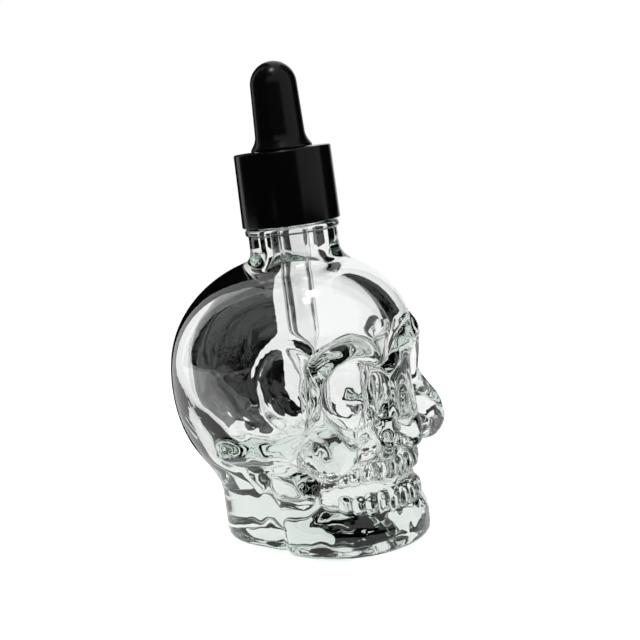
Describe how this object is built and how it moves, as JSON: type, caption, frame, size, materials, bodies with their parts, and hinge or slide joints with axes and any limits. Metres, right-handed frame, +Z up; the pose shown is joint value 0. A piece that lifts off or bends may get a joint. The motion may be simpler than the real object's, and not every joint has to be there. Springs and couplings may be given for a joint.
{
  "type": "skull dropper bottle",
  "caption": "Clear moulded glass bottle in the shape of a human skull, closed by a smooth screw cap that holds a rubber squeeze bulb and a glass pipette.",
  "frame": {"origin": "on the table plane, under the axis of the bottle's neck", "axes": "+Z up along the neck's axis, the face looks along -Y, +X is the skull's own left"},
  "size_m": [0.049, 0.0648, 0.1091],
  "materials": {
    "clear_glass": "clear, fire-polished, faintly green where it is thick",
    "black_plastic": "smooth glossy moulding",
    "black_rubber": "smooth, half glossy moulding"
  },
  "bodies": {
    "bottle": {"skull_bottle": "clear_glass"},
    "dropper": {"rubber_bulb": "black_rubber", "glass_pipette": "clear_glass"},
    "cap": {"cap_shell": "black_plastic", "cap_insert": "black_plastic"}
  },
  "joints": [
    {"name": "dropper_lift", "type": "slide", "parent": "bottle", "child": "dropper", "axis": [0, 0, 1], "range_m": [0, 0.07]},
    {"name": "cap_turn", "type": "hinge", "parent": "dropper", "child": "cap", "pos_m": [0, 0, 0.081], "axis": [0, 0, 1], "range_deg": [0, 360]}
  ]
}
